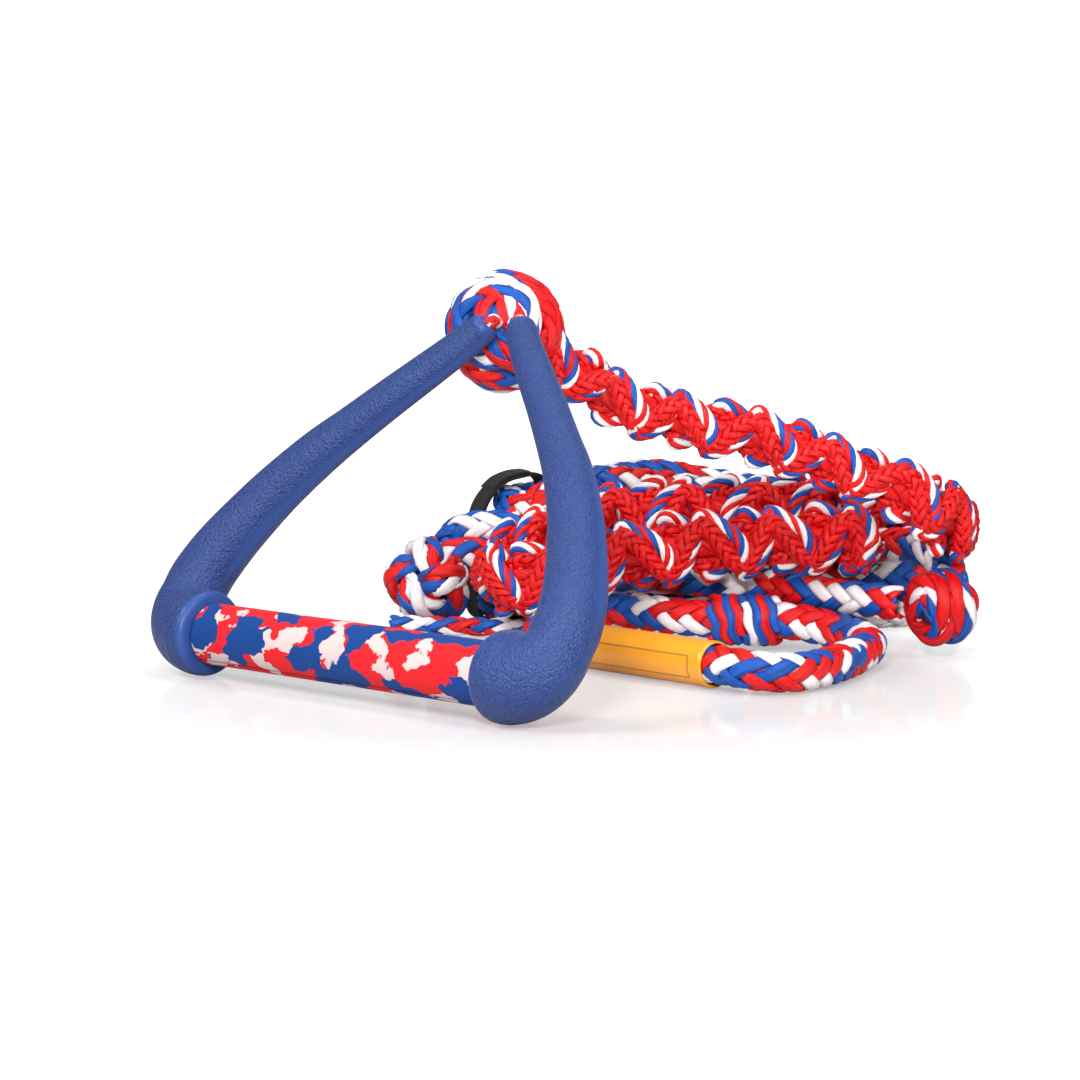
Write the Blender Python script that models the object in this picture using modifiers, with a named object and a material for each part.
"""Tow rope handle for wake surfing, with its rope hanked up behind it.

Frame: metres, +Z up.  The origin is on the floor under the run of the hank nearest the
handle.  The grip bar lies along X, on the -Y side, and the handle rises towards +Y.

The handle is laid out from the floor point under the middle of its bar.  The rope pieces
are laid out from that same point in rope_frame, turned 45 degrees about Z: its x runs
along the hank and its y across it, away from the handle.  In the rope pieces, left and
right are -x and +x, front and back are -y and +y.
All lengths are written in millimetres and scaled by MM.
"""
import math

import bmesh
import bpy
from mathutils import Vector

MM = 0.001

# ---------------------------------------------------------------- handle dimensions
GRIP_R = 14.0             # foam grip
GRIP_BORE_R = 11.3
GRIP_HALF = 93.4
GRIP_EDGE = 1.0           # chamfer of the grip's ends
GRIP_SWELL = 0.1          # extra radius at mid length
TUBE_R = 11.0             # aluminium tube inside the grip
TUBE_BORE_R = 9.6
TUBE_HALF = 111.0
BAR_Z = 20.0              # bar axis above the floor
HANDLE_TILT = 56.25       # handle plane above horizontal, degrees

BOSS_R = 19.8             # where an arm surrounds the tube
COLLAR_X = 93.9           # inner end of the arm
ELBOW_X = 103.2           # centre of the elbow bend, which is tangent to the bar axis
ELBOW_BEND_R = 17.2
ELBOW_END_R = 14.6        # section radius the elbow narrows towards
ELBOW_FLATTEN = 0.98
SOCKET_R = 11.3
SOCKET_X = 104.2
SOCKET_HALF = 11.6
TIP_THICK = 13.0          # least thickness of the arm, reached at its tip
CORD_R = 3.6              # bridle cord
CORD_BORE_R = 4.9
CORD_STEP = 7.0           # sample spacing along the cord
CORD_GAP = 1.6            # clear space between the cord's end and the apex knot

# collar sections: distance from COLLAR_X, radius
COLLAR = [(0.0, 17.4), (0.8, 18.9), (2.8, BOSS_R - 0.1), (8.0, BOSS_R)]

# arm centre line in the handle plane above the elbow: x across, h up the plane, width
ARM_FOOT = (120.4, 19.0)  # x, h of the point just below the first station
ARM = [
    (120.6, 24.0, 29.6), (119.6, 31.0, 28.6), (115.6, 43.0, 27.4), (108.2, 58.0, 25.9),
    (96.8, 77.0, 24.2), (81.4, 97.0, 22.2), (67.3, 111.8, 20.0), (52.4, 127.0, 18.6),
    (37.0, 142.0, 17.4), (22.8, 156.0, 16.0), (11.6, 168.4, 14.0),
]
# rounded edge of the arm's tip: distance past the last station, reduction of the radii
TIP_EDGE = [(1.3, 0.6), (2.0, 2.0)]

# cord centre line from the middle of the bar to an arm's tip: x, h
CORD_HALF = [
    (0.0, 0.0), (40.0, 0.0), (80.0, 0.0), (100.0, 0.0), (109.0, 0.0),
    (114.6, 1.3), (118.6, 5.2), (120.2, 11.0), ARM_FOOT,
] + [station[:2] for station in ARM[1:]]

# bush in each end of the tube: radius, distance past the tube's end
BUSH_SPIGOT_R = TUBE_BORE_R - 0.3
BUSH = [
    (6.4, 3.2), (9.6, 3.2), (10.9, 2.2), (10.9, 0.4),
    (BUSH_SPIGOT_R, 0.4), (BUSH_SPIGOT_R, -9.0), (5.0, -9.0), (5.0, 0.6),
]

# ---------------------------------------------------------------- rope dimensions
# every table of three columns below is x, y, z in rope_frame
REST = (170.0, 240.0, 0.0)         # the script's origin

KNOT_C = (66.5, 108.5, 157.0)      # apex knot
KNOT_R = 26.0
RIGHT_KNOT_C = (274.5, 137.0, 24.0)
LEFT_KNOT_C = (24.5, 238.0, 24.0)
SMALL_KNOT_R = 19.0
WEAVE_DEPTH = 1.2                  # depth of the hollows between the rope passes
WEAVE_LOBES_ROUND = 5
WEAVE_LOBES_DOWN = 3

PLAIT_R = 15.0                     # free plait
PLAIT_COIL_R = 15.5                # plait lying on the hank
CAP_R = 25.0                       # sphere radius of the shallow domes on plait ends
CAP_H = CAP_R - math.sqrt(CAP_R ** 2 - PLAIT_R ** 2)
PIVOT_GAP = 2.2                    # clear space between two plait segments
# bending points of the free plait, from the hank up towards the knot
PIVOTS = [(227.0, 105.0, 91.5), (190.0, 105.0, 105.5), (155.0, 105.0, 113.5),
          (121.0, 105.0, 123.0)]
PLAIT_COIL = [
    (253, 106, 81), (270, 120, 69.5), (281, 145, 61), (282, 172, 58), (272, 195, 60.5),
    (250, 207, 64), (224, 208, 66.5), (190, 208, 64), (150, 208, 62), (121, 208, 61),
    (95, 207, 54), (72, 203, 43), (59, 188, 33.5), (64, 171, 31.5), (80, 166, 35.5),
    (100, 166, 40), (117, 166, 43), (146, 166, 48.5), (175, 167, 50.5), (203, 166, 53),
    (228, 164, 54), (243, 159, 49),
]

LEAD_R = 9.0                       # main line between the hank and the right knot
LEAD = [
    (254.5, 141, 24.5), (240, 151, 25.5), (224, 163, 26.0), (205, 177, 27.5), (190, 186, 28.6),
    (170, 193, 30.0), (150, 199, 31.0), (131, 204, 31.0), (118, 208.5, 30.5), (109, 212.5, 30.0),
]
TAIL_R = 5.0                       # thin tail below the left knot
TAIL = [(8, 214, 5.6), (24, 210.5, 5.4), (42, 207, 5.4), (60, 203, 5.4), (76, 199, 5.4)]

SLEEVE_A = Vector((98.2, 103.0, 10.9))     # ends of the warning sleeve
SLEEVE_B = Vector((161.8, 31.5, 10.9))
SLEEVE_MID = (SLEEVE_A + SLEEVE_B) / 2
SLEEVE_R = 10.6
SLEEVE_BORE_R = 9.2
BARREL_C = (181.0, 160.3, 14.6)            # barrel knot
BARREL_DIRECTION = (1.0, -0.10, -0.012)
BARREL_R = 13.6
BARREL_WAIST_R = BARREL_R - 1.4
BARREL_BORE_R = 9.5
BARREL_MOUTH_R = BARREL_BORE_R + 1.6
BARREL_HALF = 17.0
LOOP_R = 8.7                               # end loop
LOOP = [
    (92, 110, 10.9), SLEEVE_A, SLEEVE_MID, SLEEVE_B, (171.0, 21.2, 10.9),
    (181, 15.5, 10.2), (193, 17.5, 9.4), (205, 29, 9.1), (218, 52, 9.1), (230, 83, 9.1),
    (236.5, 112, 9.1), (234, 135, 9.1), (224, 149, 10.8), (211, 156.5, 13.4),
    (199.9, 158.41, 14.37), (190.5, 159.36, 14.49), BARREL_C, (171.5, 161.25, 14.71),
    (162.1, 162.19, 14.83), (148, 167, 15.5), (126, 179, 16.4), (106, 179, 15),
    (91, 166, 12.5), (83, 146, 10.9), (84.5, 125, 10.9),
]

HANK_MID = 263.5                   # y of the hank's long axis
HANK_TURN = 23.5                   # centre line radius of its end turns
HANK_X0, HANK_X1 = 82.0, 260.0     # x of the end turns' centres
HANK_HALF_W = 15.0                 # half width of the bundle
HANK_WAIST = 3.2                   # taken off the half width in the strap
HANK_SQUARENESS = 0.62             # section exponent: 1 is an ellipse, 0 a rectangle
HANK_SCALLOP = 0.07                # share of the width lost between turns
HANK_TURN_PITCH = 19.0             # height of one turn of rope

STRAP_T = 2.0
STRAP_HALF_W = 9.5
STRAP_CORNER = 8.0
STRAP_X0, STRAP_X1 = 43.6, 81.0
STRAP_Z0 = 0.4
STRAP_HEADROOM = 3.0               # strap's outer top above the hank
TAB_Z0, TAB_Z1 = 0.4, 2.2          # tab's faces above the strap

# ---------------------------------------------------------------- scene and materials
for old in list(bpy.data.objects):
    bpy.data.objects.remove(old, do_unlink=True)


def collection(name):
    coll = bpy.data.collections.new(name)
    bpy.context.scene.collection.children.link(coll)
    return coll


parts = collection("tow_rope_handle")
cutters = collection("cutters")


def material(name, rgb, roughness, metallic=0.0):
    mat = bpy.data.materials.new(name)
    mat.use_nodes = True
    shader = mat.node_tree.nodes["Principled BSDF"]
    shader.inputs["Base Color"].default_value = (*rgb, 1.0)
    shader.inputs["Roughness"].default_value = roughness
    shader.inputs["Metallic"].default_value = metallic
    mat.diffuse_color = (*rgb, 1.0)
    return mat


BLUE_FOAM = material("blue_foam", rgb=(0.035, 0.075, 0.32), roughness=0.62)
CAMO_FOAM = material("camo_foam", rgb=(0.72, 0.16, 0.16), roughness=0.75)
ALUMINIUM = material("aluminium", rgb=(0.80, 0.81, 0.83), roughness=0.35, metallic=1.0)
NYLON = material("black_nylon", rgb=(0.03, 0.03, 0.035), roughness=0.45)
RED_PLAIT = material("red_plait", rgb=(0.78, 0.03, 0.03), roughness=0.45)
LINE = material("tricolour_line", rgb=(0.35, 0.30, 0.55), roughness=0.45)
VINYL = material("yellow_vinyl", rgb=(0.93, 0.58, 0.09), roughness=0.40)
WEBBING = material("black_webbing", rgb=(0.02, 0.02, 0.022), roughness=0.80)


# ---------------------------------------------------------------- building helpers
def add_object(name, data, mat=None, parent=None, location=(0, 0, 0), coll=parts):
    ob = bpy.data.objects.new(name, data)
    coll.objects.link(ob)
    ob.location = Vector(location) * MM
    ob.parent = parent
    if mat is not None:
        data.materials.append(mat)
    return ob


def empty(name, location, turn_z=0.0):
    ob = add_object(name, None, location=location)
    ob.empty_display_size = 0.02
    ob.rotation_euler = (0.0, 0.0, math.radians(turn_z))
    return ob


def finish_mesh(bm, name):
    mesh = bpy.data.meshes.new(name)
    bm.to_mesh(mesh)
    bm.free()
    return mesh


def smooth(ob):
    ob.data.shade_smooth()
    ob.data.set_sharp_from_angle(angle=math.radians(60))


def clamp(value):
    return min(1.0, max(0.0, value))


def catmull(points, step, closed=False):
    """Samples about one step apart along a Catmull-Rom curve through the points."""
    pts = [Vector(p) for p in points]
    if closed:
        padded = [pts[-1]] + pts + pts[:2]
    else:
        padded = [pts[0] * 2 - pts[1]] + pts + [pts[-1] * 2 - pts[-2]]
    samples = []
    for p0, p1, p2, p3 in zip(padded, padded[1:], padded[2:], padded[3:]):
        count = max(1, round((p2 - p1).length / step))
        for j in range(count):
            t = j / count
            samples.append(0.5 * ((2 * p1) + (p2 - p0) * t
                                  + (2 * p0 - 5 * p1 + 4 * p2 - p3) * t * t
                                  + (3 * p1 - p0 - 3 * p2 + p3) * t ** 3))
    if not closed:
        samples.append(pts[-1].copy())
    return samples


def add_poly_spline(curve, points, closed):
    spline = curve.splines.new("POLY")
    spline.points.add(len(points) - 1)
    for target, point in zip(spline.points, points):
        target.co = (*(Vector(point) * MM), 1.0)
    spline.use_cyclic_u = closed


def round_rope(name, points, radius, mat, parent, closed=False, bevel_res=2, coll=parts):
    """A round rope or cord: a poly spline with a round bevel and filled ends."""
    curve = bpy.data.curves.new(name, "CURVE")
    curve.dimensions = "3D"
    curve.bevel_depth = radius * MM
    curve.bevel_resolution = bevel_res
    curve.use_fill_caps = not closed
    add_poly_spline(curve, points, closed)
    return add_object(name, curve, mat, parent, coll=coll)


def flat_band(name, outlines, half_w, origin):
    """Webbing on edge: x, z outlines filled, then extruded both ways along y."""
    curve = bpy.data.curves.new(name, "CURVE")
    curve.dimensions = "2D"
    curve.fill_mode = "BOTH"
    curve.extrude = half_w * MM
    for outline in outlines:
        points = [(x - origin[0], z - origin[2], 0.0) for x, z in outline]
        add_poly_spline(curve, points, closed=True)
    ob = add_object(name, curve, WEBBING, rope_frame, origin)
    ob.rotation_euler = (math.radians(90), 0, 0)


def turned(name, profile, mat, centre, direction, parent, steps=24, closed=False, coll=parts):
    """A turned solid: profile (radius, height) about local Z, laid along direction."""
    bm = bmesh.new()
    verts = [bm.verts.new((max(r, 0.0) * MM, 0.0, h * MM)) for r, h in profile]
    for pair in zip(verts[:-1], verts[1:]):
        bm.edges.new(pair)
    if closed:
        bm.edges.new((verts[-1], verts[0]))
    ob = add_object(name, finish_mesh(bm, name), mat, parent, centre, coll)
    screw = ob.modifiers.new("turn", "SCREW")
    screw.axis = "Z"
    screw.steps = steps
    screw.render_steps = steps
    screw.use_merge_vertices = True
    screw.merge_threshold = 0.00002
    screw.use_smooth_shade = True
    screw.use_normal_calculate = False
    ob.rotation_mode = "QUATERNION"
    ob.rotation_quaternion = Vector((0, 0, 1)).rotation_difference(Vector(direction).normalized())
    return ob


def pipe_profile(radius, bore_r, half):
    return [(radius, half), (radius, -half), (bore_r, -half), (bore_r, half)]


def loft(name, sections, mat, parent, closed=False):
    """Skin a row of equal-sized point loops; capped, or joined end to start if closed."""
    bm = bmesh.new()
    loops = [[bm.verts.new(point * MM) for point in section] for section in sections]
    pairs = list(zip(loops[:-1], loops[1:]))
    if closed:
        pairs.append((loops[-1], loops[0]))
    for low, high in pairs:
        for k in range(len(low)):
            following = (k + 1) % len(low)
            bm.faces.new((low[k], low[following], high[following], high[k]))
    if not closed:
        bm.faces.new(list(reversed(loops[0])))
        bm.faces.new(loops[-1])
    bmesh.ops.recalc_face_normals(bm, faces=bm.faces)
    return add_object(name, finish_mesh(bm, name), mat, parent)


# ---------------------------------------------------------------- frames
def rope_to_layout(point):
    """Turn a rope_frame point into the handle's layout frame."""
    c = math.sqrt(0.5)
    x, y, z = point
    return Vector((c * (x - y), c * (x + y), z))


TILT = math.radians(HANDLE_TILT)
UP = Vector((0.0, math.cos(TILT), math.sin(TILT)))      # up the handle plane
OUT = Vector((0.0, -math.sin(TILT), math.cos(TILT)))    # its normal, towards -Y and up
KNOT_LAYOUT = rope_to_layout(KNOT_C)
DATUM = -rope_to_layout(REST)                           # floor point under the bar

rope_frame = empty("rope_frame", DATUM, turn_z=45.0)
# the handle swings about an X axis through the apex knot
handle_axis = empty("handle_axis", KNOT_LAYOUT + DATUM)


def plane_point(x, h):
    """Point of the handle plane, relative to the handle axis."""
    return Vector((x, 0.0, BAR_Z)) + UP * h - KNOT_LAYOUT


BAR_ORIGIN = plane_point(0, 0)


# ---------------------------------------------------------------- handle bar
def build_bar():
    turned("handle_tube", pipe_profile(TUBE_R, TUBE_BORE_R, TUBE_HALF), ALUMINIUM,
           BAR_ORIGIN, (1, 0, 0), handle_axis, closed=True)
    edge_r, edge_h = GRIP_R - GRIP_EDGE, GRIP_HALF - GRIP_EDGE
    turned("grip_sleeve",
           [(edge_r, GRIP_HALF), (GRIP_R, edge_h), (GRIP_R + GRIP_SWELL, 0.0),
            (GRIP_R, -edge_h), (edge_r, -GRIP_HALF),
            (GRIP_BORE_R, -GRIP_HALF), (GRIP_BORE_R, GRIP_HALF)],
           CAMO_FOAM, BAR_ORIGIN, (1, 0, 0), handle_axis, steps=28, closed=True)


# ---------------------------------------------------------------- bridle cord
def arm_tip(side):
    """Tip point of an arm and the direction in which the arm leaves it."""
    before, tip = [plane_point(side * x, h) for x, h, width in ARM[-2:]]
    return tip, (tip - before).normalized()


def cord_half(side):
    """Cord from the middle of the bar out past one tip; the right one runs on to the knot."""
    tip, direction = arm_tip(side)
    leaving = tip + direction * 4.0
    points = [plane_point(side * x, h) for x, h in CORD_HALF]
    points += [tip + direction * 1.5, leaving]
    if side > 0:
        stop = leaving.normalized() * (KNOT_R + CORD_GAP)    # the knot is at the axis
        points += [leaving.lerp(stop, 0.6), stop]
    return points


def cord_centre_line():
    return catmull(list(reversed(cord_half(-1))) + cord_half(1)[1:], CORD_STEP)


# ---------------------------------------------------------------- arms
def arm_stations():
    """Right arm sections: x, h, path angle, radius in the plane, radius across it."""
    stations = [(COLLAR_X + dx, 0.0, 0.0, r, r) for dx, r in COLLAR]
    # the elbow turns from facing along X to facing up the plane
    for k in range(1, 7):
        angle = math.radians(90.0 * k / 6.6)
        radius = BOSS_R + (ELBOW_END_R - BOSS_R) * (k / 7.0) ** 1.1
        stations.append((ELBOW_X + ELBOW_BEND_R * math.sin(angle),
                         ELBOW_BEND_R - ELBOW_BEND_R * math.cos(angle),
                         angle, radius, radius * ELBOW_FLATTEN))
    for i, (x, h, width) in enumerate(ARM):
        before = ARM[i - 1] if i else ARM_FOOT
        after = ARM[min(i + 1, len(ARM) - 1)]
        angle = math.atan2(after[1] - before[1], after[0] - before[0])
        thick = width * (0.96 if h < 60 else 0.93)
        stations.append((x, h, angle, width / 2, max(thick, TIP_THICK) / 2))
    # x, h, width and angle are those of the tip here
    for beyond, inset in TIP_EDGE:
        stations.append((x + math.cos(angle) * beyond, h + math.sin(angle) * beyond,
                         angle, width / 2 - inset, TIP_THICK / 2 - inset))
    return stations


def loft_arm(name, side, segments=20):
    sections = []
    for x, h, path_angle, plane_r, out_r in arm_stations():
        angle = path_angle if side > 0 else math.pi - path_angle
        centre = plane_point(side * x, h)
        across = Vector((-math.sin(angle), 0, 0)) + UP * math.cos(angle)
        turns = [2 * math.pi * k / segments for k in range(segments)]
        sections.append([centre + across * (plane_r * math.cos(t)) + OUT * (out_r * math.sin(t))
                         for t in turns])
    return loft(name, sections, BLUE_FOAM, handle_axis)


def cut(ob, cutter):
    cutter.hide_render = True
    cutter.display_type = "WIRE"
    boolean = ob.modifiers.new("cut_" + cutter.name, "BOOLEAN")
    boolean.operation = "DIFFERENCE"
    boolean.solver = "EXACT"
    boolean.object = cutter


def bake_cutter(ob, name):
    """Replace a curve object with a welded mesh cutter in the same place."""
    bpy.context.view_layer.update()
    depsgraph = bpy.context.evaluated_depsgraph_get()
    mesh = bpy.data.meshes.new_from_object(ob.evaluated_get(depsgraph))
    bm = bmesh.new()
    bm.from_mesh(mesh)
    bmesh.ops.remove_doubles(bm, verts=bm.verts, dist=0.00001)
    bmesh.ops.recalc_face_normals(bm, faces=bm.faces)
    bm.to_mesh(mesh)
    bm.free()
    baked = add_object(name, mesh, coll=cutters)
    baked.matrix_world = ob.matrix_world.copy()
    bpy.data.objects.remove(ob, do_unlink=True)
    return baked


def bore_cutter(label, side, cord_path):
    """Bore along the cord, from inside the socket out through the arm's tip."""
    tip, direction = arm_tip(side)
    path = []
    for point in cord_path:
        outward = side * (point.x - BAR_ORIGIN.x)
        in_arm = outward > 99.0 or (outward > 0 and (point - BAR_ORIGIN).dot(UP) > 6.0)
        if in_arm and (point - tip).dot(direction) < -2.0:
            path.append(point)
    if side < 0:
        path.reverse()
    path += [tip, tip + direction * 8.0]
    curve = round_rope(label + "_bore_curve", path, CORD_BORE_R, None, handle_axis, coll=cutters)
    return bake_cutter(curve, label + "_bore_cutter")


def build_arm(label, side, cord_path):
    """One arm, its socket for the tube, its cord bore and the bush in the tube's end."""
    arm = loft_arm(label + "_arm", side)
    socket_profile = [(0.0, SOCKET_HALF), (SOCKET_R, SOCKET_HALF),
                      (SOCKET_R, -SOCKET_HALF), (0.0, -SOCKET_HALF)]
    cut(arm, turned(label + "_socket_cutter", socket_profile, None,
                    plane_point(side * SOCKET_X, 0), (1, 0, 0), handle_axis, coll=cutters))
    cut(arm, bore_cutter(label, side, cord_path))
    turned(label + "_tube_bushing", BUSH, NYLON, plane_point(side * TUBE_HALF, 0),
           (side, 0, 0), handle_axis, steps=20, closed=True)


# ---------------------------------------------------------------- knots
def woven_ball(name, centre, radii, segments=20, rings=12):
    """A button knot: a ball whose surface swells over each rope pass."""
    bm = bmesh.new()
    bmesh.ops.create_uvsphere(bm, u_segments=segments, v_segments=rings, radius=1.0)
    for vert in bm.verts:
        n = vert.co.normalized()
        around = math.atan2(n.y, n.x)
        down = math.acos(max(-1.0, min(1.0, n.z)))
        weave = (math.cos(WEAVE_LOBES_ROUND * around + 2.0 * down)
                 * math.sin(WEAVE_LOBES_DOWN * down))
        swell = 1.0 - WEAVE_DEPTH / radii[0] * (0.5 + 0.5 * weave)
        vert.co = Vector((n.x * radii[0], n.y * radii[1], n.z * radii[2])) * (swell * MM)
    smooth(add_object(name, finish_mesh(bm, name), LINE, rope_frame, centre))


def build_knots():
    woven_ball("apex_knot", KNOT_C, (KNOT_R, KNOT_R, KNOT_R), segments=24, rings=14)
    woven_ball("right_knot", RIGHT_KNOT_C, (14.0, SMALL_KNOT_R, SMALL_KNOT_R))
    woven_ball("left_knot", LEFT_KNOT_C, (SMALL_KNOT_R, SMALL_KNOT_R - 1.0, SMALL_KNOT_R + 1.0))


# ---------------------------------------------------------------- plait
def capsule_profile(half, radius, rings=4):
    """Dome-ended bar, from the top pole down the outer side to the bottom pole."""
    limit = math.asin(radius / CAP_R)
    top = []
    for i in range(rings + 1):
        angle = limit * i / rings
        top.append((CAP_R * math.sin(angle),
                    half + CAP_R * (math.cos(angle) - math.cos(limit))))
    return top + [(r, -h) for r, h in reversed(top)]


def build_free_plait():
    """Straight segments between the bending points, the last one ending at the knot."""
    chain = [Vector(p) for p in PIVOTS]
    knot = Vector(KNOT_C)
    to_knot = (knot - chain[-1]).normalized()
    chain.append(knot - to_knot * (KNOT_R + 0.5 - PIVOT_GAP / 2))
    for i, (low, high) in enumerate(zip(chain, chain[1:])):
        half = (high - low).length / 2 - PIVOT_GAP / 2 - CAP_H
        turned("plait_span_%d" % (len(PIVOTS) - i), capsule_profile(half, PLAIT_R), RED_PLAIT,
               (low + high) / 2, high - low, rope_frame, steps=16)


def dome_ended_rope(name, pts, radius, mat, segments=12):
    """Rope with domed ends, its sections carried along the path without twisting."""
    last = len(pts) - 1
    tangents = [(pts[min(i + 1, last)] - pts[max(i - 1, 0)]).normalized()
                for i in range(len(pts))]
    rim = math.sqrt(CAP_R ** 2 - radius ** 2)
    # share of the rope's radius, height above the rim
    dome = [(k, math.sqrt(CAP_R ** 2 - (radius * k) ** 2) - rim) for k in (0.2, 0.55, 0.82)]
    stations = [(pts[0] - tangents[0] * h, tangents[0], radius * k) for k, h in dome]
    stations += [(point, tangent, radius) for point, tangent in zip(pts, tangents)]
    stations += [(pts[-1] + tangents[-1] * h, tangents[-1], radius * k)
                 for k, h in reversed(dome)]

    previous = tangents[0]
    normal = Vector((0, 0, 1))
    normal = (normal - previous * normal.dot(previous)).normalized()
    sections = []
    for point, tangent, r in stations:
        normal = previous.rotation_difference(tangent) @ normal
        normal = (normal - tangent * normal.dot(tangent)).normalized()
        previous = tangent
        binormal = tangent.cross(normal)
        turns = [2 * math.pi * k / segments for k in range(segments)]
        sections.append([point + normal * (r * math.cos(t)) + binormal * (r * math.sin(t))
                         for t in turns])
    smooth(loft(name, sections, mat, rope_frame))


def build_plait_on_hank():
    pivot = Vector(PIVOTS[0])
    direction = (Vector(PLAIT_COIL[0]) - pivot).normalized()
    start = pivot + direction * (PIVOT_GAP / 2 + CAP_H + 0.4)
    dome_ended_rope("plait_on_hank", catmull([start] + PLAIT_COIL, 9.0), PLAIT_COIL_R, RED_PLAIT)


# ---------------------------------------------------------------- main line and end loop
def build_loose_line():
    round_rope("mainline_lead", catmull(LEAD, 8.0), LEAD_R, LINE, rope_frame)
    round_rope("left_knot_tail", catmull(TAIL, 9.0), TAIL_R, LINE, rope_frame, bevel_res=1)
    round_rope("end_loop", catmull(LOOP, 10.0, closed=True), LOOP_R, LINE, rope_frame,
               closed=True)


def build_barrel_knot():
    # two bulges with a groove between them: radius, height
    half = [(BARREL_MOUTH_R, BARREL_HALF), (BARREL_R - 0.8, BARREL_HALF - 1.0),
            (BARREL_R, BARREL_HALF - 4.0), (BARREL_R, 3.0), (BARREL_WAIST_R, 0.6)]
    bore_half = BARREL_HALF - 1.4
    profile = half + [(r, -h) for r, h in reversed(half)]
    profile += [(BARREL_BORE_R, -bore_half), (BARREL_BORE_R, bore_half)]
    turned("barrel_knot", profile, LINE, BARREL_C, BARREL_DIRECTION, rope_frame,
           steps=20, closed=True)


def build_warning_sleeve():
    along = SLEEVE_B - SLEEVE_A
    turned("warning_sleeve", pipe_profile(SLEEVE_R, SLEEVE_BORE_R, along.length / 2), VINYL,
           SLEEVE_MID, along, rope_frame, closed=True)


# ---------------------------------------------------------------- hank
def hank_centre(share):
    """Racetrack centre line, share from 0 up to 1: x, y and heading."""
    straight = HANK_X1 - HANK_X0
    arc = math.pi * HANK_TURN
    d = share * (2 * straight + 2 * arc)
    if d < straight:                                     # front run, going +x
        return HANK_X0 + d, HANK_MID - HANK_TURN, 0.0
    d -= straight
    if d < arc:                                          # right end turn
        end_x, heading = HANK_X1, d / HANK_TURN
    else:
        d -= arc
        if d < straight:                                 # back run, going -x
            return HANK_X1 - d, HANK_MID + HANK_TURN, math.pi
        end_x, heading = HANK_X0, math.pi + (d - straight) / HANK_TURN
    return (end_x + HANK_TURN * math.sin(heading),
            HANK_MID - HANK_TURN * math.cos(heading), heading)


def hank_top(x, y):
    """Height of the rope pile: low in front, piled up towards the left at the back."""
    back = 0.5 + 0.5 * math.tanh((y - HANK_MID + 6.0) / 14.0)
    return 42.0 + 6.0 * back + 34.0 * back * math.exp(-((x - 118.0) / 92.0) ** 2)


def hank_bottom(x):
    """Lifted over the keeper strap at the left end, else on the floor."""
    return 3.2 * clamp((104.0 - x) / 20.0)


def squared(value):
    """Push a sine or cosine outward, to square up the section."""
    return math.copysign(abs(value) ** HANK_SQUARENESS, value)


def build_hank(stations=48, segments=16):
    """The hanked main line as one closed ring; its sides are scalloped by the turns."""
    sections = []
    for i in range(stations):
        x, y, heading = hank_centre(i / stations)
        out_x, out_y = math.sin(heading), -math.cos(heading)
        top, bottom = hank_top(x, y), hank_bottom(x)
        # slimmer where the strap cinches it
        half_w = HANK_HALF_W - HANK_WAIST * clamp((118.0 - x) / 24.0)
        section = []
        for k in range(segments):
            t = 2 * math.pi * (k + 0.5) / segments
            side = squared(math.cos(t))
            z = bottom + (top - bottom) * clamp(0.5 + 0.53 * squared(math.sin(t)))
            hollow = 0.5 - 0.5 * math.cos(2 * math.pi * z / HANK_TURN_PITCH)
            w = half_w * side * (1.0 - HANK_SCALLOP * hollow * abs(side))
            section.append(Vector((x + out_x * w, y + out_y * w, z)))
        sections.append(section)
    smooth(loft("mainline_hank", sections, LINE, rope_frame, closed=True))


# ---------------------------------------------------------------- keeper strap
def strap_outline(inset, z_top, steps=6):
    """Rounded rectangle in x and z, the strap's outer outline moved in by inset."""
    corner = STRAP_CORNER - inset
    left, right = STRAP_X0 + STRAP_CORNER, STRAP_X1 - STRAP_CORNER
    low, high = STRAP_Z0 + STRAP_CORNER, z_top - STRAP_CORNER
    outline = []
    for x, z, start in ((right, high, 0), (left, high, 90), (left, low, 180), (right, low, 270)):
        for k in range(steps + 1):
            angle = math.radians(start + 90.0 * k / steps)
            outline.append((x + corner * math.cos(angle), z + corner * math.sin(angle)))
    return outline


def build_keeper():
    """Strap round the hank's left end, and the tab on it that peels up about its right end."""
    z_top = hank_top(STRAP_X1, HANK_MID + STRAP_HALF_W) + STRAP_HEADROOM
    flat_band("keeper_strap", [strap_outline(0.0, z_top), strap_outline(STRAP_T, z_top)],
              STRAP_HALF_W, (STRAP_X1 - STRAP_CORNER, HANK_MID, z_top))
    left, right = STRAP_X0 + STRAP_CORNER, STRAP_X1 - 9.0
    low, high = z_top + TAB_Z0, z_top + TAB_Z1
    flat_band("keeper_tab", [[(right, low), (right, high), (left, high), (left, low)]],
              STRAP_HALF_W - 0.5, (right, HANK_MID, low))


# ---------------------------------------------------------------- build
build_bar()
cord_line = cord_centre_line()
round_rope("bridle_rope", cord_line, CORD_R, LINE, handle_axis, bevel_res=1)
build_arm("left", -1, cord_line)
build_arm("right", 1, cord_line)
build_knots()
build_free_plait()
build_plait_on_hank()
build_loose_line()
build_hank()
build_barrel_knot()
build_warning_sleeve()
build_keeper()
bpy.context.view_layer.update()
